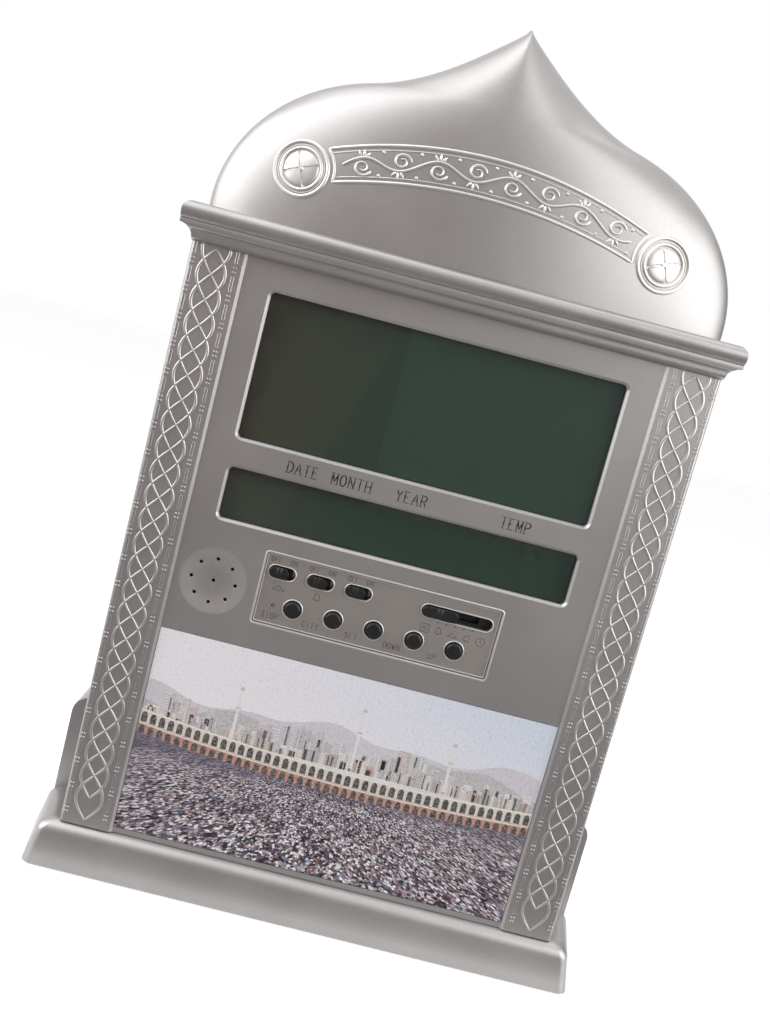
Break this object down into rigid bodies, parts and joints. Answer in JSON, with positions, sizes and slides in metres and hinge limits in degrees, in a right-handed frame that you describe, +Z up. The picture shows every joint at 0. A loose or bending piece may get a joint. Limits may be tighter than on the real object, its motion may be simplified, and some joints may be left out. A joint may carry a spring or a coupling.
{
  "type": "azan clock",
  "caption": "Domed clock that tells prayer times, with a cornice and plinth, two display windows, slide switches, push buttons, a picture panel, a loudspeaker and a battery door.",
  "frame": {"origin": "centre of the standing surface: on the plane the clock stands on, in the middle of its width and depth", "axes": "+X to the viewer's right when facing the clock, +Y from the front to the back, +Z up"},
  "size_m": [0.1968, 0.054, 0.3],
  "materials": {
    "silver_plastic": "moulded plastic with satin silver paint",
    "clear_window": "clear flat acrylic",
    "display_glass": "grey-green liquid crystal glass",
    "black_plastic": "moulded, satin",
    "white_plastic": "milky light guide",
    "strip_rubber": "layered contact rubber",
    "led_resin": "clear resin",
    "circuit_board": "green lacquered fibre board",
    "black_resin": "cast resin",
    "component_cases": "sleeved and moulded cases",
    "ivory_plastic": "moulded nylon",
    "zinc_steel": "zinc plated",
    "nickel_steel": "nickel plated",
    "ribbon_film": "flexible film",
    "red_sleeve": "soft wire sleeve",
    "black_sleeve": "soft wire sleeve",
    "plate_film": "printed silver film",
    "picture_print": "printed plastic card",
    "cell_wrap": "plain printed wrap",
    "speaker_paper": "black paper cone",
    "magnet_metal": "ferrite",
    "gasket_foam": "foam"
  },
  "bodies": {
    "housing": {"front_cover": "silver_plastic", "dome_cover": "silver_plastic", "plinth": "silver_plastic", "rear_cover": "silver_plastic", "upper_lens": "clear_window", "lower_lens": "clear_window", "upper_display_glass": "display_glass", "lower_display_glass": "display_glass", "display_frame": "black_plastic", "contact_strips": "strip_rubber", "light_guides": "white_plastic", "backlight_leds": "led_resin", "main_board": "circuit_board", "chip_blobs": "black_resin", "board_components": "component_cases", "wire_connectors": "ivory_plastic", "temperature_sensor": "black_resin", "board_screws": "zinc_steel", "key_board": "circuit_board", "key_board_screws": "zinc_steel", "ribbon_cable": "ribbon_film", "control_plate": "plate_film", "slide_switch_bodies": "nickel_steel", "selector_switch_body": "nickel_steel", "key_switch_bodies": "nickel_steel", "speaker_gasket": "gasket_foam", "speaker_basket": "zinc_steel", "speaker_cone": "speaker_paper", "speaker_magnet": "magnet_metal", "speaker_clamp": "black_plastic", "speaker_screws": "zinc_steel", "speaker_leads": "red_sleeve", "picture_card": "picture_print", "lower_cell": "cell_wrap", "upper_cell": "cell_wrap", "contact_springs": "nickel_steel", "contact_plates": "nickel_steel", "positive_lead": "red_sleeve", "negative_lead": "black_sleeve", "rear_cover_screws": "zinc_steel", "plinth_screws": "zinc_steel"},
    "stop_key": {"stop_button": "black_plastic", "stop_plunger": "ivory_plastic"},
    "city_key": {"city_button": "black_plastic", "city_plunger": "ivory_plastic"},
    "set_key": {"set_button": "black_plastic", "set_plunger": "ivory_plastic"},
    "down_key": {"down_button": "black_plastic", "down_plunger": "ivory_plastic"},
    "up_key": {"up_button": "black_plastic", "up_plunger": "ivory_plastic"},
    "left_switch_knob": {"left_slide_knob": "black_plastic"},
    "middle_switch_knob": {"middle_slide_knob": "black_plastic"},
    "right_switch_knob": {"right_slide_knob": "black_plastic"},
    "selector": {"selector_knob": "black_plastic"},
    "door": {"battery_door": "silver_plastic"}
  },
  "joints": [
    {"name": "stop_press", "type": "slide", "parent": "housing", "child": "stop_key", "axis": [0, 1, 0], "range_m": [0, 0.0008], "stiffness_N_per_m": 300, "springref_m": -0.001},
    {"name": "city_press", "type": "slide", "parent": "housing", "child": "city_key", "axis": [0, 1, 0], "range_m": [0, 0.0008], "stiffness_N_per_m": 300, "springref_m": -0.001},
    {"name": "set_press", "type": "slide", "parent": "housing", "child": "set_key", "axis": [0, 1, 0], "range_m": [0, 0.0008], "stiffness_N_per_m": 300, "springref_m": -0.001},
    {"name": "down_press", "type": "slide", "parent": "housing", "child": "down_key", "axis": [0, 1, 0], "range_m": [0, 0.0008], "stiffness_N_per_m": 300, "springref_m": -0.001},
    {"name": "up_press", "type": "slide", "parent": "housing", "child": "up_key", "axis": [0, 1, 0], "range_m": [0, 0.0008], "stiffness_N_per_m": 300, "springref_m": -0.001},
    {"name": "left_switch_slide", "type": "slide", "parent": "housing", "child": "left_switch_knob", "axis": [1, 0, 0], "range_m": [0, 0.002]},
    {"name": "middle_switch_slide", "type": "slide", "parent": "housing", "child": "middle_switch_knob", "axis": [1, 0, 0], "range_m": [0, 0.002]},
    {"name": "right_switch_slide", "type": "slide", "parent": "housing", "child": "right_switch_knob", "axis": [1, 0, 0], "range_m": [0, 0.002]},
    {"name": "selector_slide", "type": "slide", "parent": "housing", "child": "selector", "axis": [1, 0, 0], "range_m": [0, 0.0116]},
    {"name": "door_hinge", "type": "hinge", "parent": "housing", "child": "door", "pos_m": [0, 0.027, 0.0042], "axis": [-1, 0, 0], "range_deg": [0, 60]}
  ]
}
